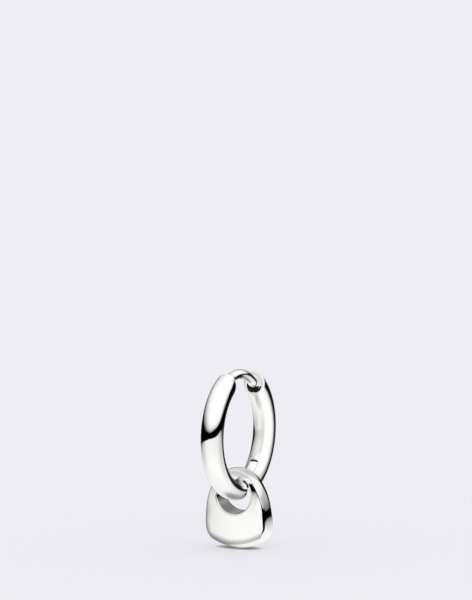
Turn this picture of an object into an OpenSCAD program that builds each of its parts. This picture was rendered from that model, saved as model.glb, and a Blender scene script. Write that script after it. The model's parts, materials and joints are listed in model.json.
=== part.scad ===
// Huggie earring in polished silver with a hanging drop.
// Units are millimetres. The hoop lies in the YZ plane with its axis along X, the front half is at -Y,
// and the origin is the middle of the ear post, where the earring hangs from the lobe.
// Angles in the plane of the hoop start at the rear (+Y) and rise over the top (+Z).

/* [Hoop] */
// Diameter of the circle along the middle of the tube
hoop_d = 11.48; // [10.8:0.02:13]
// Width of the tube, from one side of the hoop to the other
tube_w = 2.33; // [2.1:0.01:2.6]
// Thickness of the tube, from the inside of the hoop to the outside
tube_t = 2.06; // [1.95:0.01:2.3]
// Angle at which the middle of the front half's top end lies
front_end = 119.5; // [118:0.5:121]
// How far that end face leans back from upright
front_lean = 10; // [6:1:14]
// Rise of the soft cushion on that end face
cushion_l = 0.4; // [0.2:0.05:0.5]
// Angle at which the front half's lower end stops, in front of the hinge
front_stop = -93; // [-94:0.5:-90]
// Rise of the soft cushion on that end
stop_l = 0.3; // [0.2:0.05:0.3]

/* [Ear post] */
// Diameter of the post's wire
post_d = 0.94; // [0.8:0.02:1.0]
// Radius of the post's bend
post_bend = 5.23; // [5.15:0.01:5.3]
// Height of the bend's centre over the hoop's centre
post_lift = 0.7; // [0.65:0.01:0.8]
// How far the bend's centre lies towards the front
post_shift = 0.3; // [0.2:0.01:0.35]
// Angle of the post's round tip, about the bend's centre
post_tip = 43; // [42:0.5:46]

/* [Catch] */
// Diameter of the hollow in the rear half that takes the post's tip
catch_d = 1.5; // [1.4:0.02:1.56]
// Depth of the hollow, along its slope
catch_depth = 1.1; // [0.9:0.05:1.2]
// Slope of the hollow, downwards from the level
catch_slope = 27; // [24:1:30]
// How far behind the hoop's centre the hollow opens
catch_y = 3.34; // [3.28:0.01:3.4]
// Height over the hoop's centre at which the hollow opens
catch_z = 4.41; // [4.36:0.01:4.46]
// How far the rear half's end face leans back from upright
catch_lean = 5; // [2:1:8]

/* [Hinge] */
// Angle of the hinge pin around the hoop
hinge_angle = -64; // [-66:0.5:-63]
// Diameter of the hinge pin
pin_d = 0.7; // [0.5:0.05:0.8]
// Clearance between the pin and the tongue's bore, on the radius
pin_play = 0.03; // [0.02:0.01:0.06]
// Thickness of the tongue on the front half
tongue_w = 0.98; // [0.8:0.02:1.02]
// Reach of the tongue from the pin
tongue_r = 1.96; // [1.8:0.02:2.1]
// Gap between the tongue and the slot, on each side
slot_side = 0.045; // [0.03:0.005:0.08]
// Gap between the tongue's round end and the end of the slot
slot_end = 0.16; // [0.12:0.01:0.2]
// How far the tongue's neck reaches past the middle of the tube, towards the outside
neck_out = 0.1; // [0:0.05:0.2]

/* [Drop] */
// Diameter of the hole that the hoop passes through
hole_d = 3.86; // [3.6:0.02:4]
// Depth of the hole's centre below the hoop's centre
hole_drop = 6.11; // [6.05:0.01:6.3]
// Depth of the arch's centre below the hoop's centre
arch_drop = 6.2; // [6.1:0.01:6.3]
// Radius of the arch over the hole
arch_r = 2.63; // [2.5:0.01:2.7]
// Greatest half width of the front face
face_w = 3.33; // [3.2:0.01:3.5]
// Radius of the face's long sides
side_r = 8.3; // [7:0.1:12]
// Radius of the face's lower corners
corner_r = 1.32; // [1.1:0.02:1.5]
// Radius of the face's bottom edge
bottom_r = 5.85; // [5.2:0.05:6.5]
// Depth of the face's bottom edge below the hoop's centre
face_bottom = 11.08; // [11:0.01:11.3]
// Thickness at the face's edge, at the top of the arch
top_t = 1.4; // [1.2:0.02:1.6]
// Thickness at the face's edge, at the bottom
bottom_t = 2.68; // [2.2:0.02:2.8]
// How far each face rises in its middle
face_rise = 0.04; // [0:0.01:0.2]
// How far the side wall bulges past the face's edge, at the sides and the arch
side_bulge = 0.07; // [0.02:0.01:0.2]
// How far the side wall bulges past the face's edge, at the bottom
bottom_bulge = 0.56; // [0.3:0.02:0.7]
// How far the drop's top leans forward as it stands
drop_lean = 3.6; // [0:0.1:5]

/* [Hidden] */

$fn = 128;
silver = "silver";
// Step between a round end and the bar that it closes
slack = 0.01;
hoop_r = hoop_d / 2;
post_r = post_d / 2;
// Height of the post's middle over the hoop's centre, straight above it
post_top = post_lift + sqrt(pow(post_bend, 2) - pow(post_shift, 2));
// Where the post starts, inside the front half
post_root = 122;
// The fork ends in a round of the tube's thickness about the pin
knuckle_r = tube_t / 2 + slack;
// The tongue's hub stays a little inside the tube
hub_r = tube_t / 2 - 3 * slack;
// Slant of the front half's top end face across the tube, and the face's longer diameter
end_slant = front_end + front_lean - 90;
end_t = tube_t / cos(end_slant);
// How far the face's middle lies towards the inside of the hoop from the tube's middle
end_shift = 0.08;
// Middle of the tongue's neck, around the hoop
neck_angle = (front_stop + hinge_angle) / 2;
slot_w = tongue_w + 2 * slot_side;
slot_r = tongue_r + slot_end;
// Roundness of the tongue's rim and of the slot's end, seen from inside the hoop
tongue_round = 0.36;
slot_round = tongue_round + slot_side;
// Angles past which the two halves are cut back to their ends
front_reach = front_end - 20;
rear_reach = 64;
tongue_reach = hinge_angle + 25;
fork_reach = hinge_angle - 15;
// Reach of cutting blocks past the tube
beyond = 4;
// Depth below the hoop's centre of the point about which the drop leans
lean_drop = 7;

// Puts a shape drawn in the plane of the hoop, about the hoop's centre, where the hoop is
module in_hoop() translate([0, 0, -post_top]) rotate([90, 0, 90]) children();

// Puts a shape drawn about the middle of the tube at an angle round the hoop
module in_tube(angle) in_hoop() rotate([0, 0, angle]) translate([hoop_r, 0, 0]) children();

// The tube's oval section
module tube_section() scale([tube_t / 2, tube_w / 2]) circle(r = 1);

// A stretch of the tube between two angles
module tube(from, to)
    in_hoop() rotate_extrude(start = from, angle = to - from) translate([hoop_r, 0]) tube_section();

// A disc about the pin with a rounded rim
module knuckle(radius, width, round)
    in_tube(hinge_angle) rotate_extrude() union() {
        translate([0, -width / 2]) square([radius - round, width]);
        translate([0, round - width / 2]) square([radius, width - 2 * round]);
        for (side = [-1, 1]) translate([radius - round, side * (width / 2 - round)]) circle(r = round);
    }

// A round bar through the middle of the tube, from side to side
module cross_bar(angle, radius)
    in_tube(angle) cylinder(r = radius, h = beyond, center = true);

// A block on one side of a section of the tube; way is 1 or -1, the side that it is on
module past(angle, way)
    in_tube(angle) translate([-beyond / 2, way * beyond, 0])
        cube([2 * beyond, 2 * beyond, beyond], center = true);

// Puts a shape drawn on the front half's top end, with its flat side to the end face and +Z out of it
module on_front_end()
    in_tube(front_end) rotate([0, 0, -front_end - front_lean]) rotate([0, 90, 0]) children();

// Half of a soft cushion with an oval foot, rooted a little way below its foot
module cushion(thick, rise)
    scale([tube_w / 2 - slack, thick / 2 - slack, rise]) intersection() {
        sphere(r = 1);
        translate([-1, -1, -0.2]) cube(2);
    }

// The curved ear post with its round tip
module ear_post() in_hoop() translate([-post_shift, post_lift]) {
    rotate_extrude(start = post_tip, angle = post_root - post_tip)
        translate([post_bend, 0]) circle(r = post_r);
    rotate([0, 0, post_tip]) translate([post_bend, 0, 0]) sphere(r = post_r - slack);
}

// The tongue: a long round nose behind the pin, a hub about the pin, and the neck that joins it to the front
// half and stays clear of the outside of the hoop
module tongue() {
    intersection() {
        knuckle(tongue_r, tongue_w, tongue_round);
        past(hinge_angle, 1);
    }
    in_tube(hinge_angle) cylinder(r = hub_r, h = tongue_w, center = true);
    in_tube(neck_angle) translate([-knuckle_r, -tongue_r, -tongue_w / 2])
        cube([knuckle_r + neck_out, 2 * tongue_r, tongue_w]);
}

// The front half of the hoop: tube, cushioned ends, ear post and hinge tongue in one piece of metal
module front_hoop() color(silver) difference() {
    union() {
        difference() {
            tube(front_reach, 360 + tongue_reach);
            on_front_end() translate([-beyond / 2, -beyond, 0]) cube([beyond, 2 * beyond, beyond]);
            difference() {
                past(front_stop, 1);
                in_tube(front_stop) rotate([0, -90, 90]) cushion(tube_t, stop_l);
                tongue();
            }
        }
        on_front_end() translate([0, -end_shift, 0]) cushion(end_t, cushion_l);
        ear_post();
    }
    cross_bar(hinge_angle, pin_d / 2 + pin_play);
}

// Everything in front of the rear half's end face
module before_end_face()
    in_hoop() translate([catch_y, catch_z, 0]) rotate([0, 0, -catch_lean])
        translate([-beyond, -beyond, -beyond / 2]) cube([beyond, 2 * beyond, beyond]);

// The hollow that the post's tip snaps into
module catch_bore()
    in_hoop() translate([catch_y, catch_z, 0]) rotate([0, 0, -catch_slope]) rotate([0, 90, 0])
        translate([0, 0, -catch_d]) cylinder(d = catch_d, h = catch_d + catch_depth);

// The rear half of the hoop: tube, catch and the fork of the hinge
module rear_hoop() color(silver) difference() {
    tube(fork_reach, rear_reach);
    difference() {
        past(hinge_angle, -1);
        cross_bar(hinge_angle, knuckle_r);
    }
    before_end_face();
    catch_bore();
    knuckle(slot_r, slot_w, slot_round);
    cross_bar(hinge_angle, pin_d / 2);
}

// The hinge pin, riveted flush with the sides of the tube
module hinge_pin() color(silver) intersection() {
    tube(0, 360);
    cross_bar(hinge_angle, pin_d / 2);
}

// Centres of the arcs of the face's outline, about the hoop's centre, right half
arch_c = [0, -arch_drop];
side_x = face_w - side_r;
side_c = [side_x, arch_c.y - sqrt(pow(side_r - arch_r, 2) - pow(side_x, 2))];
bottom_c = [0, bottom_r - face_bottom];

// Centre of the circle of radius r that touches two larger circles from inside, on their right
function inner_touch(c1, r1, c2, r2, r) =
    let (
        d = norm(c2 - c1),
        u = (c2 - c1) / d,
        a = (pow(d, 2) + pow(r1 - r, 2) - pow(r2 - r, 2)) / (2 * d),
        h = sqrt(pow(r1 - r, 2) - pow(a, 2))
    ) c1 + a * u + h * [u.y, -u.x];

corner_c = inner_touch(side_c, side_r, bottom_c, bottom_r, corner_r);

// Direction from one centre to another, which is where the arcs about them meet
function heading(from, to) = atan2(to.y - from.y, to.x - from.x);

arch_to_side = heading(side_c, arch_c);
side_to_corner = heading(side_c, corner_c);
corner_to_bottom = heading(bottom_c, corner_c);

// Arcs of the right half as [centre, radius, first direction, last direction, steps]
half_outline = [
    [arch_c, arch_r, 90, arch_to_side, 9],
    [side_c, side_r, arch_to_side, side_to_corner, 7],
    [corner_c, corner_r, side_to_corner, corner_to_bottom, 8],
    [bottom_c, bottom_r, corner_to_bottom, -90, 5]
];

// Points of the right half as [x, z, direction of the outward normal]
right_points = [for (arc = half_outline) for (i = [0 : arc[4] - 1])
    let (dir = arc[2] + (arc[3] - arc[2]) * i / arc[4]) concat(arc[0] + arc[1] * [cos(dir), sin(dir)], dir)];
right_n = len(right_points);
// The whole outline: down the right side, the bottom point, and up the left side
outline = concat(
    right_points,
    [[0, -face_bottom, -90]],
    [for (i = [right_n - 1 : -1 : 1]) let (p = right_points[i]) [-p.x, p.y, 180 - p[2]]]
);
outline_n = len(outline);

// Top of the arch
arch_top = arch_r - arch_drop;

// Half thickness at the face's edge, at height z
function half_t(z) = (top_t + (bottom_t - top_t) * (arch_top - z) / (arch_top + face_bottom)) / 2;

// Bulge of the side wall where the outline faces a direction
function bulge(dir) = side_bulge + (bottom_bulge - side_bulge) * pow(max(0, -sin(dir)), 2);

// Middle of the face
face_mid = [0, -7.8];

// A point of the face: share s of the way from the face's middle to its edge
function face_point(p, s, side) =
    let (x = s * p.x, z = face_mid.y + s * (p.y - face_mid.y))
    [x, side * (half_t(z) + face_rise * (1 - pow(s, 2))), z];

// A point of the side wall: v runs from -1 at the front edge to 1 at the back edge
function wall_point(p, v) =
    let (out = bulge(p[2]) * (1 - pow(v, 2)))
    [p.x + out * cos(p[2]), v * half_t(p.y), p.y + out * sin(p[2])];

// Where the rings of points lie on the face, and across the side wall
face_shares = [0.3, 0.55, 0.75, 0.9, 1];
wall_steps = [-0.75, -0.5, -0.25, 0, 0.25, 0.5, 0.75];

drop_rings = concat(
    [for (s = face_shares) [for (p = outline) face_point(p, s, -1)]],
    [for (v = wall_steps) [for (p = outline) wall_point(p, v)]],
    [for (i = [len(face_shares) - 1 : -1 : 0]) [for (p = outline) face_point(p, face_shares[i], 1)]]
);
ring_n = len(drop_rings);
drop_points = concat(
    [face_point(face_mid, 0, -1)],
    [for (ring = drop_rings) for (p = ring) p],
    [face_point(face_mid, 0, 1)]
);
drop_last = len(drop_points) - 1;

// Number of a point in drop_points, by ring and place in the ring
function at(ring, i) = 1 + ring * outline_n + i % outline_n;

drop_faces = concat(
    [for (i = [0 : outline_n - 1]) [0, at(0, i), at(0, i + 1)]],
    [for (r = [0 : ring_n - 2]) for (i = [0 : outline_n - 1]) [at(r, i), at(r + 1, i), at(r + 1, i + 1)]],
    [for (r = [0 : ring_n - 2]) for (i = [0 : outline_n - 1]) [at(r, i), at(r + 1, i + 1), at(r, i + 1)]],
    [for (i = [0 : outline_n - 1]) [drop_last, at(ring_n - 1, i + 1), at(ring_n - 1, i)]]
);

// Puts an upright shape drawn about the hoop's centre where the leaning drop is
module in_drop()
    translate([0, 0, -post_top - lean_drop]) rotate([drop_lean, 0, 0])
        translate([0, 0, lean_drop]) children();

// The pebble-shaped drop with the round hole that the hoop passes through
module drop() color(silver) in_drop() difference() {
    polyhedron(points = drop_points, faces = drop_faces);
    translate([0, 0, -hole_drop]) rotate([90, 0, 0]) cylinder(d = hole_d, h = beyond, center = true);
}

front_hoop();
rear_hoop();
hinge_pin();
drop();
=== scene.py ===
import json
import math

import bpy
import numpy as np
from bpy.props import FloatProperty, FloatVectorProperty, PointerProperty
from mathutils import Matrix, Vector


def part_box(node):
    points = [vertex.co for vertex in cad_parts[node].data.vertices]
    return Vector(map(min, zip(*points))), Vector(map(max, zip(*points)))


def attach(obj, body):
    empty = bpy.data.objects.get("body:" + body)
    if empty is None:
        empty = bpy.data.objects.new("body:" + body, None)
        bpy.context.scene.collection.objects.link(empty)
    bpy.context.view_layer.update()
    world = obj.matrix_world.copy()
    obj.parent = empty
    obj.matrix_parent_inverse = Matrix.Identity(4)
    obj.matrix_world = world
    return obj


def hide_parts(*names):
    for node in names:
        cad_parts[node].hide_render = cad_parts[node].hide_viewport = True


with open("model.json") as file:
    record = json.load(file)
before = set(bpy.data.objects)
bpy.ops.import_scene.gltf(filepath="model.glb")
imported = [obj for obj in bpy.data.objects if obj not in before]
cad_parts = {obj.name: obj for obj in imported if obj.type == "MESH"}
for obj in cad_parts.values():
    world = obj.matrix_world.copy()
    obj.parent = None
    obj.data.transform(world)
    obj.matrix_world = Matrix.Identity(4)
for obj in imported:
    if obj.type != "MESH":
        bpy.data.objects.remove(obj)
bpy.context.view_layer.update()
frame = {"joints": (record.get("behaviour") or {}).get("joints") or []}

bl_info = {
    "name": "Huggie earring with a hanging drop",
    "version": (1, 0, 0),
    "blender": (4, 5, 0),
    "location": "View3D > Sidebar > Earring",
    "description": "Dresses a hinged silver hoop and its drop, and sets up their studio",
    "category": "Add Mesh",
}

MM = 0.001
# How finely the surfaces are cut: points round the tube, the wire and pin, the slot's disc and the drop.
TUBE_SIDES, WIRE_SIDES, DISC_SIDES, DROP_SIDES = 144, 64, 160, 360
PIN = next(j for j in frame["joints"] if j["name"] == "hoop_hinge")["pos_m"]
FLOOR_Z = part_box("drop")[0].z


def srgb(text):
    """A colour written as sRGB hex, as linear red, green, blue."""
    shares = [int(text[i:i + 2], 16) / 255 for i in (1, 3, 5)]
    return tuple(c / 12.92 if c <= 0.04045 else ((c + 0.055) / 1.055) ** 2.4 for c in shares)


def length(name, description, mm):
    """A size that is kept in metres and written here in millimetres."""
    return FloatProperty(name=name, description=description, default=mm * MM, min=0, unit="LENGTH",
                         precision=5)


def place(name, description, mm):
    """A coordinate about the hoop's centre, which may be below zero."""
    return FloatProperty(name=name, description=description, default=mm * MM, unit="LENGTH", precision=5)


def turn(name, description, degrees):
    """An angle that is kept in radians and written here in degrees."""
    return FloatProperty(name=name, description=description, default=math.radians(degrees), subtype="ANGLE")


def colour(name, description, text):
    """A colour that is kept linear and written here as sRGB hex."""
    return FloatVectorProperty(name=name, description=description, default=srgb(text), subtype="COLOR",
                               min=0, max=1)


class HoopSizes(bpy.types.PropertyGroup):
    """The hoop's tube and the two ends of its front half."""
    radius: length("Hoop radius", "Radius of the circle along the middle of the tube", 5.74)
    width: length("Tube width", "From one side of the hoop to the other", 2.33)
    thickness: length("Tube thickness", "From the inside of the hoop to the outside", 2.06)
    front_end: turn("Front end", "Where the middle of the front half's top end lies", 119.5)
    front_lean: turn("Front end lean", "How far that end face leans back from upright", 10)
    cushion: length("Front end cushion", "Rise of the soft cushion on that end face", 0.5)
    stop: turn("Front half's stop", "Where the front half's lower end stops", 267)
    stop_cushion: length("Stop cushion", "Rise of the soft cushion on that end", 0.3)


class PostSizes(bpy.types.PropertyGroup):
    """The ear post."""
    radius: length("Wire radius", "Half of the post's wire", 0.47)
    bend: length("Bend radius", "Radius of the post's bend", 5.23)
    lift: length("Bend lift", "Height of the bend's centre over the hoop's centre", 0.7)
    shift: length("Bend shift", "How far the bend's centre lies towards the front", 0.3)
    root: turn("Root", "Where the post starts, inside the front half, about the bend's centre", 122)
    leaves: turn("Leaves", "Where the post leaves the front half", 109)
    tip: turn("Tip", "Where the post's tapering tip starts", 52)
    taper: length("Tip taper", "Length of the tip's taper", 0.85)
    solder: length("Solder fillet", "How much wider the post is where it leaves the front half", 0.1)
    flow: length("Solder flow", "How far up the post the solder thins out", 0.22)


class CatchSizes(bpy.types.PropertyGroup):
    """The rear half's hollow end."""
    y: place("Back", "How far behind the hoop's centre the hollow opens", 3.34)
    z: place("Height", "Height over the hoop's centre at which the hollow opens", 4.38)
    lean: turn("End face lean", "How far the end face leans back from upright", 5)
    radius: length("Hollow radius", "Half of the hollow's diameter", 0.81)
    depth: length("Hollow depth", "Depth of the hollow, along its slope", 1.1)
    bottom: length("Hollow bottom", "Depth of the hollow's rounded bottom", 0.15)
    # Up to this height the hollow's wall has the near-black painted shade.
    dark: place("Dark height", "Height over the hollow's axis up to which it is as the drill left it", 0.35)
    slope: turn("Hollow slope", "Slope of the hollow, downwards from the level", 27)
    rim: length("Rim round", "How much of the end face's outer edge is rounded", 0.26)
    lip: length("Lip round", "How much of the hollow's edge is rounded", 0.12)


class HingeSizes(bpy.types.PropertyGroup):
    """The hinge between the halves."""
    pin: length("Pin radius", "Half of the hinge pin's diameter", 0.35)
    bore_gap: length("Bore gap", "Gap between the pin and the fork's bore", 0.01)
    knuckle: length("Fork round", "Radius of the fork's round end about the pin", 1.04)
    edge: length("Fork edge", "How much of the fork's edges is rounded", 0.12)
    tongue: length("Tongue width", "Thickness of the tongue on the front half", 0.98)
    nose: length("Tongue nose", "Reach of the tongue's nose from the pin", 1.96)
    neck: length("Tongue neck", "How far the neck reaches past the tube's middle, towards the outside", 0.1)
    inset: length("Tongue inset", "How far the tongue's outline lies inside the tube's skin", 0.02)
    slot_side: length("Slot side gap", "Gap between the tongue and the slot, on each side", 0.045)
    slot_end: length("Slot end gap", "Gap between the tongue's nose and the end of the slot", 0.25)
    slot_round: length("Slot round", "Roundness of the slot's end, seen from inside the hoop", 0.4)


class DropSizes(bpy.types.PropertyGroup):
    """The pebble-shaped drop. Heights are over the hoop's centre."""
    hole: length("Hole radius", "Half of the round hole's diameter", 1.93)
    hole_z: place("Hole height", "Height of the hole's centre", -6.11)
    arch: length("Arch radius", "Radius of the arch over the hole", 2.63)
    arch_z: place("Arch height", "Height of the arch's centre", -6.2)
    half_width: length("Half width", "Greatest half width of the front face", 3.38)
    side: length("Side radius", "Radius of the face's long sides", 8.3)
    corner: length("Corner radius", "Radius of the face's lower corners", 1.32)
    bottom: length("Bottom radius", "Radius of the face's bottom edge", 5.85)
    bottom_z: place("Bottom height", "Height of the face's bottom edge", -11.08)
    middle_z: place("Middle height", "Height of the faces' middle", -7)
    middle_t: length("Middle thickness", "Thickness of the drop in the faces' middle", 2.31)
    taper: turn("Taper", "Slope of each face at its middle, which is thicker below", 4.4)
    bow_x: length("Bow across", "Radius of each face's bow from side to side", 32)
    bow_z: length("Bow along", "Radius of each face's bow from top to bottom", 65)
    top_z: place("Top bend", "Height from which the faces bend back to the arch", -6.3)
    top_bend: FloatProperty(name="Bend", default=0.005, min=0,
                            description="How quickly they bend back there, per millimetre squared")
    side_bulge: length("Side bulge", "How far the side wall bulges past the face's edge, at the sides", 0.07)
    bottom_bulge: length("Bottom bulge", "How far it bulges at the bottom", 0.56)
    edge: length("Face edge", "Width of the rounding of the face's edge, at the sides", 1.1)
    bottom_edge: length("Bottom edge", "Width of that rounding at the bottom", 0.6)
    wall_edge: length("Wall edge", "Width of that rounding on the side wall", 0.5)
    arch_edge: length("Arch edge", "Width of both roundings at the arch", 0.14)
    mouth: length("Hole edge", "How much of the hole's edges is rounded", 0.13)
    lean: turn("Lean", "How far the drop's top leans forward as it stands", 3.6)
    swung: turn("Swing", "How far the drop has swung round on the hoop as it stands", -0.8)


class SilverLook(bpy.types.PropertyGroup):
    """The finishes of the silver; the drilled and bored colours are painted shade."""
    polished: colour("Polished silver", "Mirror colour of the polished metal", "#FBFBFA")
    # Painted shade: a near-black colour for the shade in the hollow and the slot.
    drilled: colour("Drilled silver", "Mirror colour of the dark metal in the hollow and the slot", "#1E1D1D")
    # Painted shade: a grey colour for the shade on the wall of the drop's hole.
    bored: colour("Bored silver", "Mirror colour of the unpolished wall of the drop's hole", "#959493")


class StudioLook(bpy.types.PropertyGroup):
    """The studio about the earring."""
    paper: colour("Paper", "The pale paper under and behind the earring", "#EEEDF3")
    tent: FloatProperty(name="Tent", description="Brightness of the light tents", default=1.07, min=0)


GROUPS = {"hoop": HoopSizes, "post": PostSizes, "catch": CatchSizes, "hinge": HingeSizes,
          "drop": DropSizes, "silver": SilverLook, "studio": StudioLook}


def sizes(name):
    """The property group of that name."""
    return getattr(bpy.context.scene, "earring_" + name)


def post_top():
    """Height over the hoop's centre of the post's middle, where the earring's origin lies."""
    post = sizes("post")
    return post.lift + math.sqrt(post.bend ** 2 - post.shift ** 2)


def in_hoop(x, y, z):
    """Points given about the hoop's centre, as an array of points in the earring's frame."""
    x, y, z = np.broadcast_arrays(x, y, z)
    return np.stack([x, y, z - post_top()], axis=-1)


def quads(at):
    """The faces between the rows of a grid of point numbers whose rows are closed rings."""
    after = np.roll(at, -1, axis=1)
    return np.stack([at[:-1], after[:-1], after[1:], at[1:]], axis=-1).reshape(-1, 4)


def skin(name, rows, first=None, last=None, ring=False, second=None):
    """A closed mesh over a grid of points whose rows are closed rings. The rows end in the points first and
    last, or with ring the last row joins the first. Its faces are turned outwards by its signed volume.
    second gives the mesh's second finish and the faces that have it, as truths with a row for each row of
    faces; its last row also holds for the fan about the point last."""
    n_rows, n = rows.shape[:2]
    points = rows.reshape(-1, 3)
    at = np.arange(n_rows * n).reshape(n_rows, n)
    if ring:
        faces = quads(np.concatenate([at, at[:1]])).tolist()
    else:
        faces = quads(at).tolist()
        after = np.roll(at, -1, axis=1)
        for fan in ((len(points), after[0], at[0]), (len(points) + 1, at[-1], after[-1])):
            faces += np.stack(np.broadcast_arrays(*fan), axis=-1).tolist()
        points = np.concatenate([points, [first, last]])
    mesh = bpy.data.meshes.new(name)
    mesh.from_pydata(points.tolist(), [], faces)
    mesh.calc_loop_triangles()
    corners = np.empty(3 * len(mesh.loop_triangles), dtype=np.int32)
    mesh.loop_triangles.foreach_get("vertices", corners)
    a, b, c = np.moveaxis(points[corners.reshape(-1, 3)], 1, 0)
    if np.einsum("ij,ij->i", a, np.cross(b, c)).sum() < 0:
        mesh.flip_normals()
    if second:
        finish, where = second
        taken = np.zeros(len(faces), dtype=np.int32)
        taken[:where.size] = where.reshape(-1)
        if not ring:
            taken[-n:] = where[-1]
        mesh.materials.append(material(sterling_silver_mirror_polished))
        mesh.materials.append(material(finish))
        mesh.polygons.foreach_set("material_index", taken)
    obj = bpy.data.objects.new(name, mesh)
    bpy.context.scene.collection.objects.link(obj)
    return obj


def angles(n):
    """n angles once round, without the last."""
    return np.linspace(0, 2 * np.pi, n, endpoint=False)


def between_rings(first, last, steps):
    """Rows of even steps from first to last, which are rings of numbers or of points, or one number."""
    first, last = np.broadcast_arrays(first, last)
    return first + np.linspace(0, 1, steps).reshape(-1, *[1] * first.ndim) * (last - first)


def corner(before, edge, after, steps):
    """A rounded edge as rows: the quadratic Bezier curve from before to after with its middle handle on the
    sharp edge, which leaves one surface and meets the other without a crease."""
    s = np.linspace(0, 1, steps)[:, None, None]
    return (1 - s) ** 2 * before + 2 * s * (1 - s) * edge + s ** 2 * after


def dome(centre, edge, rise, steps):
    """Rows from an edge ring towards its centre: share r of the way out, lifted by the rise times the root of
    one less r squared, which is a half ellipsoid. The edge itself and the top point are left out."""
    lean = np.linspace(0, np.pi / 2, steps + 2)[1:-1, None, None]
    r = np.cos(lean)
    return centre + r * (edge - centre) + np.sin(lean) * rise


def carve(obj, tool, operation):
    """Joins or cuts a mesh with another closed one and removes the tool."""
    step = obj.modifiers.new("carve", "BOOLEAN")
    step.operation = operation
    step.solver = "MANIFOLD"
    step.material_mode = "TRANSFER"
    step.object = tool
    bpy.context.view_layer.update()
    made = bpy.data.meshes.new_from_object(obj.evaluated_get(bpy.context.evaluated_depsgraph_get()))
    old, name = obj.data, obj.data.name
    obj.modifiers.clear()
    obj.data = made
    bpy.data.meshes.remove(old)
    made.name = name
    bpy.data.meshes.remove(tool.data)


def smooth(obj, degrees=35):
    """Shades a mesh smooth, apart from edges sharper than an angle."""
    obj.data.shade_smooth()
    obj.data.set_sharp_from_angle(angle=math.radians(degrees))


def tube_reach(phi):
    """Distance from the hoop's centre, in the hoop's plane, of the tube's skin at section angle phi."""
    hoop = sizes("hoop")
    return hoop.radius + hoop.thickness / 2 * np.cos(phi)


def tube_at(t, phi):
    """The hoop's tube: an oval section whose middle runs round the hoop's circle. t is the angle round the
    hoop from the rear over the top, phi the angle round the section from its outside."""
    out = tube_reach(phi)
    return in_hoop(sizes("hoop").width / 2 * np.sin(phi), out * np.cos(t), out * np.sin(t))


def along(t):
    """The direction along the tube at angle t round the hoop, as an array of vectors."""
    return np.stack([np.zeros_like(t), -np.sin(t), np.cos(t)], axis=-1)


def front_tube():
    """The front half's tube. Its rows run from the top end face, where the tube's skin meets a leaning plane,
    round to the lower end; both ends close in soft cushions that start along the tube."""
    hoop = sizes("hoop")
    phi = angles(TUBE_SIDES)
    middle = hoop.front_end + hoop.front_lean
    start = np.arccos(hoop.radius / tube_reach(phi) * math.cos(middle)) - hoop.front_lean
    body = tube_at(between_rings(start, hoop.stop, 300), phi)
    top_c, low_c = (tube_at(a, np.pi / 2) * [0, 1, 1] for a in (hoop.front_end, hoop.stop))
    low_rise = hoop.stop_cushion * along(hoop.stop)
    top = dome(top_c, body[0], -hoop.cushion * along(start), steps=20)
    low = dome(low_c, body[-1], low_rise, steps=14)
    first = top_c - hoop.cushion * along(hoop.front_end)
    return skin("front_hoop_silver", np.concatenate([top[::-1], body, low]), first, low_c + low_rise)


def ear_post():
    """The ear post: round wire bent to a circle, whose tip tapers as half an ellipsoid. It widens towards its
    root by a bell curve, as solder flows up it."""
    post = sizes("post")
    phi = angles(WIRE_SIDES)

    def ring(a, ahead, radius):
        """A ring of the wire, square to the bend at angle a and moved ahead along the wire."""
        out = post.bend + radius * np.cos(phi)
        return in_hoop(radius * np.sin(phi), out * np.cos(a) + ahead * np.sin(a) - post.shift,
                       out * np.sin(a) - ahead * np.cos(a) + post.lift)

    a = np.linspace(post.root, post.tip, 160)[:, None]
    past = np.maximum(post.leaves - a, 0) * post.bend
    wire = ring(a, 0, post.radius + post.solder * np.exp(-(past / post.flow) ** 2))
    lean = np.linspace(0, np.pi / 2, 18)[1:-1, None]
    tip = ring(post.tip, post.taper * np.sin(lean), post.radius * np.cos(lean))
    end = ring(post.tip, post.taper, 0)[0]
    return skin("ear_post", np.concatenate([wire, tip]), wire[0].mean(axis=0), end)


def pin_place():
    """The hinge pin's place in the hoop's plane, about the hoop's centre, and its angle round the hoop."""
    y, z = PIN[1], PIN[2] + post_top()
    return y, z, math.atan2(z, y)


def about_pin(x, r, a):
    """Points at x that lie r from the hinge pin's axis, at the angle a about it."""
    y0, z0, _ = pin_place()
    return in_hoop(x, y0 + r * np.cos(a), z0 + r * np.sin(a))


def off_pin(reach, far):
    """The angle round the hoop between the pin and a point at that reach from the hoop's centre and so far
    from the pin, by the law of cosines."""
    middle = sizes("hoop").radius
    return np.arccos((reach ** 2 + middle ** 2 - far ** 2) / (2 * reach * middle))


def rounded(width, edge, steps, flat_steps=0):
    """Places across a plate from side to side and how far its outline draws in at each, as columns. Its
    edges are quarter circles, with flat_steps even places between them."""
    lean, flat = np.linspace(0, np.pi / 2, steps), width / 2 - edge
    x = [-flat - edge * np.cos(lean), np.linspace(-flat, flat, flat_steps + 2)[1:-1],
         flat + edge * np.sin(lean)]
    drawn_in = [1 - np.sin(lean), np.zeros(flat_steps), 1 - np.cos(lean)]
    return np.concatenate(x)[:, None], edge * np.concatenate(drawn_in)[:, None]


def oval_plate(name, y, z, width, edge):
    """A plate in the hoop's plane with the outline y, z, which thins towards its sides as the tube does: each
    point's distance from the tube's middle is scaled by the tube's oval at that x. Its edges are rounded."""
    hoop = sizes("hoop")
    t, out = np.arctan2(z, y), np.hypot(y, z) - hoop.radius
    x, drawn_in = rounded(width, edge, steps=5, flat_steps=13)
    mid_t, mid_out = t.mean(), out.mean()
    keep = 1 - drawn_in / np.hypot((t - mid_t) * hoop.radius, out - mid_out)
    t_in, out_in = mid_t + (t - mid_t) * keep, mid_out + (out - mid_out) * keep
    reach = hoop.radius + out_in * np.sqrt(1 - (x / (hoop.width / 2)) ** 2)
    rows = in_hoop(x, reach * np.cos(t_in), reach * np.sin(t_in))
    return skin(name, rows, rows[0].mean(axis=0), rows[-1].mean(axis=0))


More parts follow.
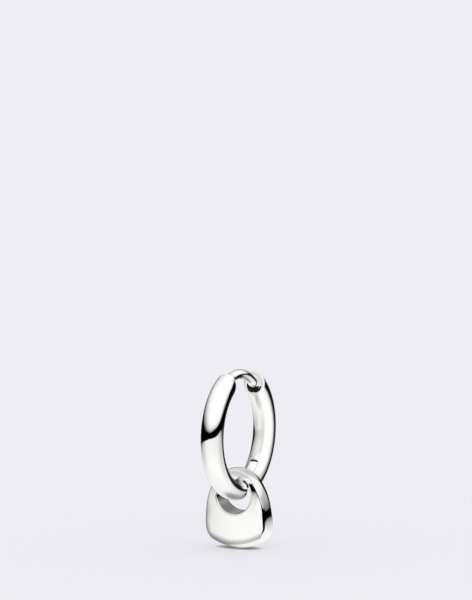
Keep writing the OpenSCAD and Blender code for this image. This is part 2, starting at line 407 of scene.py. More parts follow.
def tongue():
    """The hinge tongue, as a plate. Its outline is made of arcs: from inside the front half along the tube's
    inside, round the nose, back along the tube's outside, round the hub about the pin and along the neck."""
    hoop, hinge = sizes("hoop"), sizes("hinge")
    y0, z0, at = pin_place()
    root_in, hub_starts, hub_turn, neck_starts = 0.03, 0.02, 1.35, 0.185  # in radians
    hub_inset = 0.03 * MM
    inner, outer = (hoop.radius + side * (hoop.thickness / 2 - hinge.inset) for side in (-1, 1))
    t_in, t_out = (at + off_pin(reach, hinge.nose) for reach in (inner, outer))
    nose = [math.atan2(r * math.sin(t) - z0, r * math.cos(t) - y0)
            for r, t in ((inner, t_in), (outer, t_out))]
    root = hoop.stop - 2 * np.pi - root_in

    def arc(r, first, last, n, y=0, z=0, endpoint=False):
        """n points of a circle about y, z, from the first angle on."""
        a = np.linspace(first, last, n, endpoint=endpoint)
        return np.stack([y + r * np.cos(a), z + r * np.sin(a)], axis=-1)

    outline = np.concatenate([
        arc(inner, root, t_in, 60),
        arc(hinge.nose, *nose, 59, y0, z0),
        arc(outer, t_out, at - hub_starts, 24),
        arc(hoop.thickness / 2 - hub_inset, at, at - hub_turn, 20, y0, z0, endpoint=True),
        arc(hoop.radius + hinge.neck, at - neck_starts, root, 30)])
    return oval_plate("hinge_tongue", outline[:, 0], outline[:, 1], hinge.tongue, edge=0.06 * MM)


def disc(name, radius, width, edge):
    """A disc about the hinge pin, from side to side, with a rounded rim, as a surface of revolution."""
    x, drawn_in = rounded(width, edge, steps=10)
    rows = about_pin(x, radius - drawn_in, angles(DISC_SIDES))
    return skin(name, rows, about_pin(-width / 2, 0, 0), about_pin(width / 2, 0, 0))


def rear_tube():
    """The rear half's tube. Its rows run from the fork's round end, a cylinder about the pin, round to the
    end face, over its rounded rim and lip, and down the hollow to its bottom. Inside the hollow the metal is
    as the drill left it, with near-black painted shade, apart from the top of the wall."""
    hoop, hinge, catch = sizes("hoop"), sizes("hinge"), sizes("catch")
    phi = angles(TUBE_SIDES)
    reach = tube_reach(phi)
    y0, z0, at = pin_place()
    fork = at - off_pin(reach, hinge.knuckle)
    face = catch.y * math.cos(catch.lean) - catch.z * math.sin(catch.lean)
    end = np.arccos(face / reach) - catch.lean
    first, last = fork + hinge.edge / hoop.radius, end - catch.rim / hoop.radius
    body = tube_at(between_rings(first, last, 260), phi)

    fork_edge = tube_at(fork, phi)
    y, z = fork_edge[:, 1], fork_edge[:, 2] + post_top()
    under = at - np.pi / 2
    about = (np.arctan2(z - z0, y - y0) - under + np.pi) % (2 * np.pi) - np.pi
    share = np.linspace(1 - hinge.edge / (hoop.width / 2), 0, 28)[:-1, None]
    cap = about_pin(share * fork_edge[:, 0], hinge.knuckle, under + share * about)
    fork_round = corner(cap[0], fork_edge, body[0], steps=8)[1:-1]

    rim_edge = tube_at(end, phi)
    centre = np.array([0, catch.y, catch.z - post_top()])
    down = np.array([0, math.cos(catch.slope), -math.sin(catch.slope)])
    across = np.array([0, math.sin(catch.slope), math.cos(catch.slope)])
    into = np.array([0, math.cos(catch.lean), -math.sin(catch.lean)])
    ring = catch.radius * (np.cos(phi)[:, None] * across + np.sin(phi)[:, None] * [1, 0, 0])
    mouth = centre + ring - (ring @ into / (down @ into))[:, None] * down
    inward = (mouth - rim_edge) / np.linalg.norm(mouth - rim_edge, axis=1)[:, None]
    flat = between_rings(rim_edge + inward * catch.rim, mouth - inward * catch.lip, 8)
    rim_round = corner(body[-1], rim_edge, flat[0], steps=12)[1:-1]
    floor = centre + catch.depth * down
    bottom = floor + ring
    wall = between_rings(mouth + catch.lip * down, bottom, 16)
    lip_round = corner(flat[-1], mouth, wall[0], steps=8)[1:-1]
    base = dome(floor, bottom, catch.bottom * down, steps=6)
    outside = np.concatenate([cap[::-1], fork_round, body, rim_round, flat, lip_round])
    rows = np.concatenate([outside, wall, base])
    inside = np.arange(len(rows) - 1)[:, None] >= len(outside) - 1
    # Painted shade: the hollow's faces below this height take the near-black colour.
    low = (rows[:-1] - centre) @ across < catch.dark
    return skin("rear_hoop_silver", rows, about_pin(0, hinge.knuckle, under), floor + catch.bottom * down,
                second=(sterling_silver_painted_shade, inside & low))


def pin_barrel(name, radius, proud):
    """A barrel about the hinge pin's axis. Its ends follow the tube's oval sides, stand proud of them by that
    much, and close in rings about the middle."""
    hoop = sizes("hoop")
    phi = angles(WIRE_SIDES)
    rings = np.linspace(0.15, 1, 8)
    r = radius * np.concatenate([rings, rings[::-1]])[:, None]
    side = np.repeat([-1, 1], len(rings))[:, None]
    oval = np.sqrt(1 - (r * np.cos(phi) / (hoop.thickness / 2)) ** 2)
    rows = about_pin(side * (hoop.width / 2 * oval + proud), r, phi + pin_place()[2])
    reach = hoop.width / 2 + proud
    return skin(name, rows, about_pin(-reach, 0, 0), about_pin(reach, 0, 0))


def drop_centres():
    """The centres of the four arcs of the face's outline, as x, z about the hoop's centre, right half: those
    of the arch, the side, the lower corner, which touches both its neighbours from inside, and the bottom."""
    d = sizes("drop")
    arch = np.array([0, d.arch_z])
    side_x = d.half_width - d.side
    side = np.array([side_x, d.arch_z - math.sqrt((d.side - d.arch) ** 2 - side_x ** 2)])
    bottom = np.array([0, d.bottom_z + d.bottom])
    gap = np.linalg.norm(bottom - side)
    u = (bottom - side) / gap
    a = (gap ** 2 + (d.side - d.corner) ** 2 - (d.bottom - d.corner) ** 2) / (2 * gap)
    h = math.sqrt((d.side - d.corner) ** 2 - a ** 2)
    return arch, side, side + a * u + h * np.array([u[1], -u[0]]), bottom


def drop_outline(theta):
    """Distance from the hole's centre to the face's outline at the angles theta, and how far the outline
    faces up there. Each angle meets the arc that faces it, at the root of the ray's quadratic with that arc's
    circle."""
    d = sizes("drop")
    hole = np.array([0, d.hole_z])
    arch, side, low, bottom = drop_centres()
    way = np.stack([np.abs(np.cos(theta)), np.sin(theta)], axis=-1)
    meets = [c2 + r * (c2 - c1) / np.linalg.norm(c2 - c1) - hole
             for c1, c2, r in ((side, arch, d.arch), (side, low, d.corner), (bottom, low, d.corner))]
    facing = np.arctan2(way[:, 1], way[:, 0])
    which = sum((facing < math.atan2(p[1], p[0])).astype(int) for p in meets)
    found, up = [], []
    for c, r in zip((arch, side, low, bottom), (d.arch, d.side, d.corner, d.bottom)):
        back = way @ (hole - c)
        reach = -back + np.sqrt(np.maximum(back ** 2 - (hole - c) @ (hole - c) + r ** 2, 0))
        found.append(reach)
        up.append((hole[1] + reach * way[:, 1] - c[1]) / r)
    return np.choose(which, found), np.choose(which, up)


def drop_half(x, z):
    """Half of the drop's thickness at x, z. From the faces' middle it grows downwards by the taper and falls
    by the square of each distance over twice the bow's radius; near the arch a cube bends it back further."""
    d = sizes("drop")
    past = np.maximum(z - d.top_z, 0)
    return (d.middle_t / 2 + math.tan(d.taper) * (d.middle_z - z) - x ** 2 / (2 * d.bow_x)
            - (z - d.middle_z) ** 2 / (2 * d.bow_z) - d.top_bend / MM ** 2 * past ** 3)


def leaning(x, y, z):
    """Points of the upright drop about the hoop's centre, turned about the faces' middle by its lean and its
    swing, as an array of points in the earring's frame."""
    d = sizes("drop")
    x, y, up = np.broadcast_arrays(x, y, z - d.middle_z)
    y, up = y * math.cos(d.lean) - up * math.sin(d.lean), y * math.sin(d.lean) + up * math.cos(d.lean)
    x, up = x * math.cos(d.swung) + up * math.sin(d.swung), up * math.cos(d.swung) - x * math.sin(d.swung)
    return in_hoop(x, y, up + d.middle_z)


def ease(share):
    """A share held between 0 and 1 and eased: three of its squares less two of its cubes."""
    share = np.clip(share, 0, 1)
    return share ** 2 * (3 - 2 * share)


def drop_body():
    """The drop: rows run round it, from the middle of the hole's wall over the front face and the bulging
    side wall to the back face and home. The side wall is a parabola across the thickness. The widths of the
    roundings at the sides ease to others over the arch, by high, and where the outline faces down, by low."""
    d = sizes("drop")
    theta = angles(DROP_SIDES)
    c, s = np.cos(theta), np.sin(theta)
    out, up = drop_outline(theta)
    bulge = d.side_bulge + (d.bottom_bulge - d.side_bulge) * np.maximum(-up, 0) ** 2
    arch_from, bottom_from, bottom_full = -0.85, 0.25, 0.85
    high = ease(out * s / d.arch - arch_from)
    low = ease((-up - bottom_from) / (bottom_full - bottom_from))
    width = d.edge + (d.arch_edge - d.edge) * high + (d.bottom_edge - d.edge) * low
    wall_width = d.wall_edge + (d.arch_edge - d.wall_edge) * high

    def half(r):
        """Half of the thickness at the distances r from the hole's centre."""
        return drop_half(r * c, d.hole_z + r * s)

    def at(r, y):
        """Rows of the front half at the distances r from the hole's centre and the depths y."""
        return np.stack(np.broadcast_arrays(r * c, y, d.hole_z + r * s), axis=-1)

    edge_t, mouth_t = half(out), half(np.full_like(theta, d.hole))
    across = between_rings(1 - wall_width / edge_t, 0, 16)
    wall = at(out + bulge * (1 - across ** 2), -edge_t * across)
    inner = d.hole + d.mouth
    r = between_rings(inner, out - width, 44)
    face = at(r, -half(r))
    edge = corner(face[-1], at(out, -edge_t), wall[0], steps=12)[1:-1]
    inside = at(d.hole, between_rings(0, d.mouth - mouth_t, 10))
    mouth = corner(inside[-1], at(d.hole, -mouth_t), face[0], steps=8)[1:-1]
    front = np.concatenate([inside, mouth, face, edge, wall])
    back = (front * [1, -1, 1])[-2:0:-1]
    rows = np.concatenate([front, back])
    row = np.arange(len(rows))[:, None]
    # The hole's wall takes the bored finish, whose grey colour is painted shade.
    bore = np.broadcast_to((row < len(inside) - 1) | (row > len(rows) - len(inside)), rows.shape[:2])
    return skin("drop_silver", leaning(*np.moveaxis(rows, -1, 0)), ring=True,
                second=(sterling_silver_bored_painted_shade, bore))


def add(nodes, kind, inputs=(), curve=(), **settings):
    """Adds a node with its settings, to the right of those that feed it. Each entry of inputs names an input
    and gives its value, or the node or socket that it is linked from. curve is a curve node's points."""
    node = nodes.new(kind)
    for name, value in settings.items():
        setattr(node, name, value)
    right = 0
    for name, value in dict(inputs).items():
        source = value.outputs[0] if isinstance(value, bpy.types.Node) else value
        if isinstance(source, bpy.types.NodeSocket):
            node.id_data.links.new(source, node.inputs[name])
            right = max(right, source.node.location.x + 220)
        else:
            node.inputs[name].default_value = value
    node.location = (right, -170 * len(nodes))
    if curve:
        line = node.mapping.curves[0]
        line.points[0].location, line.points[1].location = curve[0], curve[-1]
        for x, y in curve[1:-1]:
            line.points.new(x, y)
        for point in line.points:
            point.handle_type = "AUTO_CLAMPED"
        node.mapping.update()
    return node


def new_material(name):
    """An empty material with nodes, and its nodes."""
    made = bpy.data.materials.new(name)
    made.use_nodes = True
    nodes = made.node_tree.nodes
    nodes.clear()
    return made, nodes


def silver(name, tone, rough, grain_mm, stretch, strength):
    """Bare silver with that mirror colour. Its bump is a noise of that grain, drawn out by the stretch. rough
    is its roughness, or a pair between which a broad haze changes it."""
    haze_mm, dent_mm = 0.9, 0.01
    made, nodes = new_material(name)
    where = add(nodes, "ShaderNodeTexCoord").outputs["Object"]
    if isinstance(rough, tuple):
        haze = add(nodes, "ShaderNodeTexNoise", {"Vector": where, "Scale": 1 / (haze_mm * MM), "Detail": 3})
        rough = add(nodes, "ShaderNodeMapRange", {"Value": haze, "To Min": rough[0], "To Max": rough[1]})
    drawn = add(nodes, "ShaderNodeMapping", {"Vector": where, "Scale": stretch})
    grain = add(nodes, "ShaderNodeTexNoise", {"Vector": drawn, "Scale": 1 / (grain_mm * MM), "Detail": 2})
    bump = add(nodes, "ShaderNodeBump", {"Height": grain, "Strength": strength, "Distance": dent_mm * MM})
    metal = add(nodes, "ShaderNodeBsdfPrincipled", {
        "Base Color": (*tone, 1), "Metallic": 1, "Roughness": rough, "Normal": bump})
    add(nodes, "ShaderNodeOutputMaterial", {"Surface": metal})
    return made


def sterling_silver_mirror_polished():
    """Sterling silver, cast and drawn, then buffed with rouge. To the eye it is a near perfect mirror, with
    the finest haze where the buff has run and hairlines that only soften the mirror."""
    return silver("sterling_silver_mirror_polished", sizes("silver").polished, rough=(0.015, 0.03),
                  grain_mm=0.05, stretch=(1, 0.12, 0.12), strength=0.002)


def sterling_silver_painted_shade():
    """Sterling silver as the drill and the slitting saw left it, never buffed, with painted shade: its
    near-black colour stands for the shade in the hollow and the slot. To the eye the hollow and the slot are
    nearly black."""
    return silver("sterling_silver_painted_shade", sizes("silver").drilled, rough=0.4,
                  grain_mm=0.06, stretch=(1, 1, 1), strength=0.2)


def sterling_silver_bored_painted_shade():
    """Sterling silver as the boring tool left it, clean but not buffed, which gives its roughness and
    streaks; its grey colour is painted shade in the drop's hole. To the eye the wall of the drop's hole is a
    soft, streaky grey between the bright faces."""
    return silver("sterling_silver_bored_painted_shade", sizes("silver").bored, rough=0.12,
                  grain_mm=0.12, stretch=(1, 0.1, 1), strength=0.05)


def material(make):
    """The material that a function makes, made once."""
    return bpy.data.materials.get(make.__name__) or make()


def tent(body):
    """The collection of the pieces that mirror a body's light tent, made once with its tent."""
    return bpy.data.collections.get(TENTS[body][0]) or make_tent(*TENTS[body])


def dress(obj, body, *nodes):
    """Gives a piece the polished silver where it has no material, and sets it in the frame and its tent,
    which is all that it mirrors."""
    if not obj.data.materials:
        obj.data.materials.append(material(sterling_silver_mirror_polished))
    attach(obj, body)
    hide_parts(*nodes)
    obj.visible_glossy = False
    tent(body).objects.link(obj)


class EARRING_OT_front_hoop(bpy.types.Operator):
    """Makes the front half of the hoop with its ear post and hinge tongue"""
    bl_idname = "earring.front_hoop"
    bl_label = "Front half of the hoop"

    def execute(self, context):
        hoop = front_tube()
        hoop.data.materials.append(material(sterling_silver_mirror_polished))
        carve(hoop, ear_post(), "UNION")
        carve(hoop, tongue(), "UNION")
        smooth(hoop)
        dress(hoop, "front", "front_hoop")
        return {"FINISHED"}


class EARRING_OT_rear_hoop(bpy.types.Operator):
    """Makes the rear half of the hoop with its catch and the hinge's fork"""
    bl_idname = "earring.rear_hoop"
    bl_label = "Rear half of the hoop"

    def execute(self, context):
        hinge = sizes("hinge")
        hoop = rear_tube()
        slot = disc("hinge_slot", hinge.nose + hinge.slot_end, hinge.tongue + 2 * hinge.slot_side,
                    hinge.slot_round)
        # The slot's cut faces take the near-black painted shade.
        slot.data.materials.append(material(sterling_silver_painted_shade))
        carve(hoop, slot, "DIFFERENCE")
        bore = pin_barrel("pin_bore", hinge.pin + hinge.bore_gap, proud=0.3 * MM)
        # The pin bore's cut faces take the near-black painted shade too.
        bore.data.materials.append(material(sterling_silver_painted_shade))
        carve(hoop, bore, "DIFFERENCE")
        smooth(hoop)
        dress(hoop, "rear", "rear_hoop")
        return {"FINISHED"}


class EARRING_OT_hinge_pin(bpy.types.Operator):
    """Makes the hinge pin"""
    bl_idname = "earring.hinge_pin"
    bl_label = "Hinge pin"

    def execute(self, context):
        pin = pin_barrel("hinge_pin_silver", sizes("hinge").pin, proud=0)
        smooth(pin)
        dress(pin, "rear", "hinge_pin")
        return {"FINISHED"}


class EARRING_OT_drop(bpy.types.Operator):
    """Makes the drop"""
    bl_idname = "earring.drop"
    bl_label = "Drop"

    def execute(self, context):
        drop = drop_body()
        smooth(drop)
        dress(drop, "drop", "drop")
        return {"FINISHED"}


# The photograph's size, the hoop's centre in it, its scale and the direction that it was taken from.
FRAME_PX = (472, 600)
HOOP_AT_PX = (238.4, 432.65)
PX_PER_M = 10000
CAMERA_AZIMUTH, CAMERA_ELEVATION = math.radians(27.2), math.radians(8.0)
LENS_MM, SENSOR_MM = 800, 36


def make_camera():
    """A long lens at the photograph's angle, far enough that its frame is as high as the photograph's."""
    a, e = CAMERA_AZIMUTH, CAMERA_ELEVATION
    back = Vector((math.sin(a) * math.cos(e), -math.cos(a) * math.cos(e), math.sin(e)))
    right = Vector((math.cos(a), math.sin(a), 0))
    up = back.cross(right)
    far = FRAME_PX[1] / PX_PER_M * LENS_MM / SENSOR_MM
    aside = (FRAME_PX[0] / 2 - HOOP_AT_PX[0]) / PX_PER_M
    over = (HOOP_AT_PX[1] - FRAME_PX[1] / 2) / PX_PER_M
    data = bpy.data.cameras.new("camera")
    data.lens, data.sensor_width = LENS_MM, SENSOR_MM
    data.clip_start, data.clip_end = 0.01, 10
    camera = bpy.data.objects.new("camera", data)
    bpy.context.scene.collection.objects.link(camera)
    camera.matrix_world = Matrix((right, up, back)).transposed().to_4x4()
    camera.location = Vector((0, 0, -post_top())) + aside * right + over * up + far * back
    bpy.context.scene.camera = camera


def make_floor():
    """The pale paper, a flat disc just under the drop, with a painted contact shadow: its colour darkens
    close to the drop. The metal's mirror image of the paper is the lower half of the light tents, so the disc
    itself isn't mirrored."""
    radius, clear, shadow = 45 * MM, 0.02 * MM, 0.6 * MM
    phi = angles(96)
    r = radius * np.linspace(0, 1, 9)[1:, None]
    rows = np.stack(np.broadcast_arrays(r * np.cos(phi), r * np.sin(phi), FLOOR_Z - clear), axis=-1)
    at = np.arange(rows.shape[0] * len(phi)).reshape(-1, len(phi))
    mesh = bpy.data.meshes.new("paper")
    mesh.from_pydata(rows.reshape(-1, 3).tolist(), [], quads(at)[:, ::-1].tolist() + [at[0].tolist()])
    paper = bpy.data.objects.new("paper", mesh)
    bpy.context.scene.collection.objects.link(paper)
    paper.visible_glossy = False
    made, nodes = new_material("matt_paper")
    # Painted shadow: an ambient occlusion node darkens the paper's colour near the drop, in both its matt and
    # its glowing half.
    close = add(nodes, "ShaderNodeAmbientOcclusion", {"Distance": shadow}, samples=32)
    shade = add(nodes, "ShaderNodeMapRange", {"Value": close.outputs["AO"], "To Min": 0.18})
    tone = add(nodes, "ShaderNodeVectorMath", {0: sizes("studio").paper, "Scale": shade}, operation="SCALE")
    matt = add(nodes, "ShaderNodeBsdfDiffuse", {"Color": tone})
    glow = add(nodes, "ShaderNodeEmission", {"Color": tone})
    both = add(nodes, "ShaderNodeMixShader", {0: 0.5, 1: matt, 2: glow})
    add(nodes, "ShaderNodeOutputMaterial", {"Surface": both})
    mesh.materials.append(made)


# What each body mirrors. Every curve has points (azimuth from the earring's front, value), in degrees: the
# height where the paper ends and how softly it does, the height where the tent starts and how softly that
# does, the brightness of the paper near the level and deep below, of the tent near the level and high above,
# and of the gap between paper and tent, and the height from which the deep paper takes on the brightness of
# the pole. A curve closes at 180 with its first value, unless it has a point of its own there. bands, where
# a tent has them, are points (height, share of all that brightness), and poles is the brightness straight
# below and straight above.
FRONT_TENT = {
    "paper_end": ((-180, -29), (-165, -26), (-150, -13), (-130, -7.5), (-110, -10), (-90, -9.8), (-70, -9),
        (-50, -7.6), (-30, -6.2), (-10, -4.3), (10, -3.4), (30, -2.4), (50, -1.9), (70, -1.1), (90, -1.2),
        (110, -2.7), (130, -6), (145, -7.5), (155, -14), (161, -26), (172, -30)),
    "paper_soft": ((-180, 3.5), (-150, 3), (-130, 5), (-110, 5), (-90, 1.5), (-50, 0.9), (-10, 0.6),
        (70, 0.7), (110, 1), (130, 4), (150, 5), (165, 3.5)),
    "paper_light": ((-180, 0.5), (-150, 0.8), (-110, 0.85), (-90, 0.5), (-70, 0.56), (-50, 0.76),
        (-30, 0.86), (0, 0.87), (50, 0.84), (70, 0.8), (90, 0.72), (110, 0.58), (130, 0.8), (150, 0.8),
        (170, 0.6)),
    "deep_light": ((-180, 0.28), (-165, 0.28), (-150, 0.65), (-130, 0.85), (-90, 0.87), (-50, 0.9),
        (-30, 0.93), (0, 0.96), (90, 0.95), (110, 0.92), (140, 0.85), (160, 0.42)),
    "tent_start": ((-180, 6.5), (-165, 6), (-150, 4), (-130, 2), (-110, 3), (-90, 7), (-70, 6.7),
        (-50, 5.5), (-30, 5.1), (-10, 4.8), (10, 6.4), (30, 8.2), (50, 9), (70, 8.7), (90, 7.9), (110, 6),
        (119, 5), (125, 18), (132, 32), (140, 22), (147, -1), (152, -2.5), (160, 3), (168, 6.5)),
    "tent_soft": ((-180, 11), (-150, 14), (-130, 20), (-110, 22), (-90, 18), (-50, 15), (-30, 9),
        (-10, 6.3), (10, 4.6), (30, 4), (70, 3.6), (90, 4.1), (110, 11), (122, 12), (143, 8), (152, 3),
        (165, 5)),
    "tent_light": ((-180, 0.95), (-110, 0.85), (-90, 1), (90, 1), (115, 0.8), (135, 0.7), (145, 1)),
    "high_light": ((-180, 0.82), (-150, 0.82), (-130, 0.9), (-110, 0.95), (-90, 1), (165, 1)),
    "gap_light": ((-180, 0.12), (-165, 0.1), (-150, 0.05), (-130, 0.035), (-115, 0.01), (-100, 0),
        (140, 0), (155, 0.01), (170, 0.015)),
    "deep_end": ((-180, -57),),
    "poles": (0.9, 1),
}
REAR_TENT = {
    "paper_end": ((-180, -19), (-165, -15), (-150, -9), (-130, -6.8), (-110, -7.5), (-90, -4.5), (-75, 0),
        (100, 0), (130, -15), (150, -21), (165, -19)),
    "paper_soft": ((-180, 5), (-150, 3), (-130, 5), (-110, 9), (-90, 6), (-75, 1), (100, 1), (115, 5),
        (130, 7)),
    "paper_light": ((-180, 0.5), (-150, 0.6), (-130, 0.85), (-90, 0.75), (-70, 0.56), (-50, 0.66),
        (-30, 0.82), (-10, 0.75), (8, 0.7), (22, 0.92), (60, 0.96), (90, 0.92), (102, 0.83), (115, 0.6),
        (130, 0.75), (150, 0.5)),
    "deep_light": ((-180, 0.4), (-160, 0.4), (-130, 0.85), (-90, 0.85), (-50, 0.9), (0, 0.85), (60, 0.97),
        (120, 0.92), (150, 0.8)),
    "tent_start": ((-180, 3), (-160, 0), (-145, -3), (-130, -3), (-110, 6), (-90, 3.5), (-75, 0), (100, 0),
        (130, -9), (142, -8), (150, -6.5), (158, 0), (168, 4)),
    "tent_soft": ((-180, 14), (-130, 30), (-110, 22), (-90, 20), (-70, 4), (-50, 2), (100, 2), (115, 6),
        (130, 22), (150, 10), (165, 8)),
    "tent_light": ((-180, 0.6), (-130, 0.85), (-90, 0.9), (-70, 0.5), (-50, 0.52), (-30, 0.66),
        (-10, 0.66), (8, 0.66), (22, 0.92), (60, 0.97), (90, 0.93), (105, 0.83), (120, 0.95), (150, 1)),
    "high_light": ((-180, 0.7), (-110, 0.6), (-90, 0.55), (-70, 0.65), (-50, 0.72), (-30, 0.8), (-10, 0.8),
        (8, 0.65), (25, 0.97), (130, 1), (160, 0.95)),
    "gap_light": ((-180, 0.13), (-165, 0.2), (-150, 0.22), (-130, 0.09), (-118, 0.01), (-100, 0.015),
        (-88, 0.05), (-78, 0.3), (-65, 0.42), (-50, 0.52), (-30, 0.66), (-10, 0.66), (8, 0.66), (22, 0.92),
        (60, 0.96), (90, 0.92), (102, 0.83), (115, 0.6), (128, 0.28), (138, 0.06), (146, 0.01), (165, 0),
        (175, 0.04)),
    "deep_end": ((-180, -57), (-80, -52), (-60, -44), (-30, -42), (-8, -46), (20, -62), (120, -64)),
    "poles": (0.5, 1),
}
DROP_TENT = {
    "paper_end": ((-180, -6.8), (-160, -5), (-150, 0), (-90, 0), (-70, -4), (-50, -4.5), (-38, -3),
        (-30, -2.9), (-20, -4.6), (-12, -4.3), (10, -2.2), (30, -3), (34, -3), (38, -40), (46, -36),
        (55, -29), (72, -22), (80, -18), (88, -5), (130, -4.3), (150, -4.2), (170, -5.2)),
    "paper_soft": ((-180, 3), (-150, 1), (-60, 1), (-45, 1.5), (-30, 1.8), (-10, 1.2), (10, 0.7), (80, 1),
        (92, 4.5), (180, 4.5)),
    "paper_light": ((-180, 0.9), (-160, 0.85), (-145, 0.24), (-130, 0.15), (-110, 0.15), (-94, 0.2),
        (-80, 0.33), (-69, 0.47), (-58, 0.6), (-49, 0.68), (-41, 0.75), (-36, 0.81), (-32, 0.88),
        (-27, 0.93), (-20, 0.95), (20, 0.92), (90, 0.92)),
    "deep_light": ((-180, 0.9), (-150, 0.8), (-133, 0.15), (-110, 0.13), (-90, 0.13), (-75, 0.24),
        (-60, 0.38), (-46, 0.48), (-28, 0.52), (-8, 0.48), (10, 0.45), (35, 0.42), (47, 0.65), (58, 0.88)),
    "tent_start": ((-180, 18), (-165, 6), (-150, 0), (-60, 0), (-35, -1.2), (-18, -1.2), (0, 3), (28, 3),
        (45, -1), (68, -1.6), (89, 0.8), (110, 3.4), (125, 2), (140, 0.8), (152, 0.3), (157, 2),
        (163, 18)),
    "tent_soft": ((-180, 4), (-150, 6), (-60, 2), (-38, 0.4), (-18, 0.4), (0, 3), (28, 3), (42, 1.1),
        (90, 1.4), (110, 4), (125, 5), (140, 7), (152, 7), (165, 5)),
    "tent_light": ((-180, 0.7), (-150, 0.65), (-130, 0.3), (-110, 0.29), (-90, 0.4), (-60, 0.55),
        (-40, 0.9), (-20, 0.92), (0, 0.9), (60, 1), (150, 1), (160, 0.7), (170, 0.5), (180, 0.6)),
    "high_light": ((-180, 0.5), (-150, 0.62), (-110, 0.7), (-60, 0.6), (-30, 0.66), (0, 0.62), (30, 0.8),
        (60, 0.9), (145, 0.92), (160, 0.75), (170, 0.6)),
    "gap_light": ((-180, 0.02), (-160, 0.1), (-150, 0.2), (-120, 0.23), (-100, 0.28), (-80, 0.32),
        (-60, 0.38), (-40, 0.45), (-30, 0), (150, 0)),
    "deep_end": ((-180, -57), (-130, -40), (-110, -46), (-90, -51), (-60, -59), (-40, -62), (40, -62),
        (60, -57)),
    "bands": ((-90, 1), (2, 1), (3.2, 0.63), (10, 0.63), (15, 0.85), (20, 1), (90, 1)),
    "poles": (0.87, 0.75),
}


# Each body's tent: its name, its radius in metres and its curves.
TENTS = {"front": ("front_tent", 2.0, FRONT_TENT), "rear": ("rear_tent", 2.1, REAR_TENT),
         "drop": ("drop_tent", 2.2, DROP_TENT)}


def tent_light(name, shape):
    """The light of a tent. A degrees under the paper's edge it is 1 - e^-(A / softness) of the paper's
    brightness, and so over the tent's edge of the tent's; the gap between them has its own. Away from the
    level, paper and tent change to their deep and high brightness and then to their poles'. Heights are
    shares of half a turn."""
    made, nodes = new_material(name)
    where = add(nodes, "ShaderNodeTexCoord").outputs["Object"]
    way = add(nodes, "ShaderNodeVectorMath", {0: where}, operation="NORMALIZE")
    turned = add(nodes, "ShaderNodeMapping", {"Vector": way, "Rotation": (0, 0, math.pi / 2)})
    azimuth = add(nodes, "ShaderNodeTexGradient", {"Vector": turned}, gradient_type="RADIAL").outputs["Fac"]
    split = add(nodes, "ShaderNodeSeparateXYZ", {"Vector": way})
    lean = add(nodes, "ShaderNodeMath", {0: split.outputs["Z"]}, operation="ARCSINE")
    height = add(nodes, "ShaderNodeMapRange", {
        "Value": lean, "From Min": -math.pi / 2, "From Max": math.pi / 2})

    def share(degrees):
        """A height over the level as a share of half a turn."""
        return 0.5 + degrees / 180

    def softness(degrees):
        """A difference of heights as a share of half a turn."""
        return degrees / 180

    units = {"end": share, "start": share, "soft": softness, "light": float}
    line = {}
    for key, points in shape.items():
        if key not in ("bands", "poles"):
            closed = points if points[-1][0] == 180 else (*points, (180, points[0][1]))
            unit = units[key.split("_")[1]]
            line[key] = add(nodes, "ShaderNodeFloatCurve", {"Value": azimuth},
                            curve=[(a / 360 + 0.5, unit(value)) for a, value in closed])
    bands = add(nodes, "ShaderNodeFloatCurve", {"Value": height},
                curve=[(share(h), part) for h, part in shape.get("bands", ((-90, 1), (90, 1)))])

    def grown(low, high, soft, full):
        """Full by 1 - e^-(height from low to high / soft)."""
        past = add(nodes, "ShaderNodeMath", {0: high, 1: low}, operation="SUBTRACT")
        depth = add(nodes, "ShaderNodeMath", {0: past, 1: soft}, operation="DIVIDE")
        fading = add(nodes, "ShaderNodeMath", {0: 1 / math.e, 1: depth}, operation="POWER")
        started = add(nodes, "ShaderNodeMath", {0: 1, 1: fading}, operation="SUBTRACT")
        return add(nodes, "ShaderNodeMath", {0: started, 1: full}, operation="MULTIPLY")

    below, above = shape["poles"]
    pole_depth = 22
    pole_from = add(nodes, "ShaderNodeMath", {0: line["deep_end"], 1: softness(pole_depth)},
                    operation="SUBTRACT")
    lights = {"paper": line["paper_light"], "tent": line["tent_light"]}
    for side, start, end, becomes in (
            ("paper", share(-10), share(-50), line["deep_light"]),
            ("paper", line["deep_end"], pole_from, below),
            ("tent", share(5), share(38), line["high_light"]),
            ("tent", share(48), share(68), above)):
        lights[side] = add(nodes, "ShaderNodeMapRange", {
            "Value": height, "From Min": start, "From Max": end, "To Min": lights[side], "To Max": becomes},
            interpolation_type="SMOOTHSTEP")
    seen = grown(height, line["paper_end"], line["paper_soft"], lights["paper"])
    tent_seen = grown(line["tent_start"], height, line["tent_soft"], lights["tent"])
    for operation, other in (("MAXIMUM", tent_seen), ("MAXIMUM", line["gap_light"]), ("MULTIPLY", bands),
                             ("MULTIPLY", sizes("studio").tent)):
        seen = add(nodes, "ShaderNodeMath", {0: seen, 1: other}, operation=operation)
    glow = add(nodes, "ShaderNodeEmission", {"Strength": seen})
    clear = add(nodes, "ShaderNodeBsdfTransparent")
    both = add(nodes, "ShaderNodeAddShader", {0: glow, 1: clear})
    add(nodes, "ShaderNodeOutputMaterial", {"Surface": both})
    made.cycles.emission_sampling = "NONE"
    return made


def make_tent(name, radius, shape):
    """A light tent, a ball of light that only the pieces in its own collection mirror: the collection."""
    phi = angles(48)
    lean = np.linspace(-np.pi / 2, np.pi / 2, 26)[1:-1, None]
    rows = radius * np.stack(np.broadcast_arrays(np.cos(lean) * np.cos(phi), np.cos(lean) * np.sin(phi),
                                                 np.sin(lean)), axis=-1)
    ball = skin(name, rows, [0, 0, -radius], [0, 0, radius])
    ball.data.materials.append(tent_light(name, shape))
    ball.visible_camera = ball.visible_diffuse = ball.visible_shadow = ball.visible_transmission = False
    lit = bpy.data.collections.new(name)
    ball.light_linking.receiver_collection = lit
    return lit


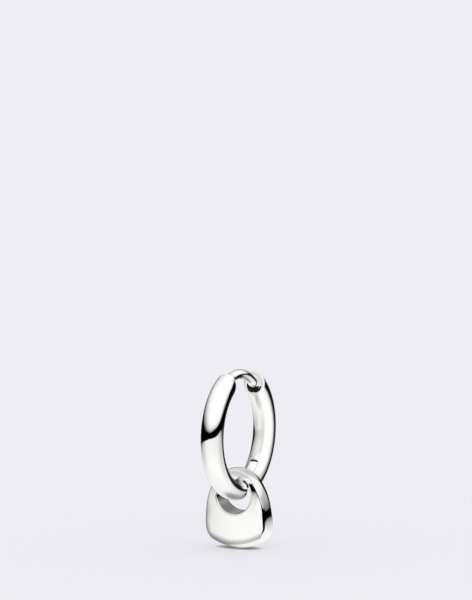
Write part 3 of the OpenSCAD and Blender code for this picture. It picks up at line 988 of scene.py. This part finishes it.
def make_world():
    """Even white light on the paper, and the paper's colour behind it. Only the tents are mirrored."""
    world = bpy.data.worlds.new("studio")
    bpy.context.scene.world = world
    world.use_nodes = True
    nodes = world.node_tree.nodes
    nodes.clear()
    ray = add(nodes, "ShaderNodeLightPath")
    seen = add(nodes, "ShaderNodeMix", {0: ray.outputs["Is Camera Ray"], 6: (1, 1, 1, 1),
                                        7: (*sizes("studio").paper, 1)}, data_type="RGBA")
    strength = add(nodes, "ShaderNodeMath", {0: 1, 1: ray.outputs["Is Glossy Ray"]}, operation="SUBTRACT")
    light = add(nodes, "ShaderNodeBackground", {"Color": seen.outputs[2], "Strength": strength})
    add(nodes, "ShaderNodeOutputWorld", {"Surface": light})


class EARRING_OT_studio(bpy.types.Operator):
    """Sets up the camera, the paper and the light"""
    bl_idname = "earring.studio"
    bl_label = "Studio"

    def execute(self, context):
        make_camera()
        make_floor()
        make_world()
        context.scene.view_settings.view_transform = "Standard"
        return {"FINISHED"}


OPERATORS = (EARRING_OT_studio, EARRING_OT_front_hoop, EARRING_OT_rear_hoop, EARRING_OT_hinge_pin,
             EARRING_OT_drop)


class EARRING_PT_panel(bpy.types.Panel):
    """Lists the earring's pieces and sizes"""
    bl_idname = "EARRING_PT_panel"
    bl_label = "Huggie earring"
    bl_space_type = "VIEW_3D"
    bl_region_type = "UI"
    bl_category = "Earring"

    def draw(self, context):
        for operator in OPERATORS:
            self.layout.operator(operator.bl_idname)
        for name, group in GROUPS.items():
            box = self.layout.box()
            box.label(text=group.__doc__)
            for prop in group.__annotations__:
                box.prop(sizes(name), prop)


CLASSES = (*GROUPS.values(), *OPERATORS, EARRING_PT_panel)


def register():
    for cls in CLASSES:
        bpy.utils.register_class(cls)
    for name, group in GROUPS.items():
        setattr(bpy.types.Scene, "earring_" + name, PointerProperty(type=group))


def unregister():
    for name in GROUPS:
        delattr(bpy.types.Scene, "earring_" + name)
    for cls in reversed(CLASSES):
        bpy.utils.unregister_class(cls)


def main():
    """Makes the whole earring in its studio."""
    register()
    bpy.ops.earring.studio()
    bpy.ops.earring.front_hoop()
    bpy.ops.earring.rear_hoop()
    bpy.ops.earring.hinge_pin()
    bpy.ops.earring.drop()


if __name__ == "__main__":
    main()
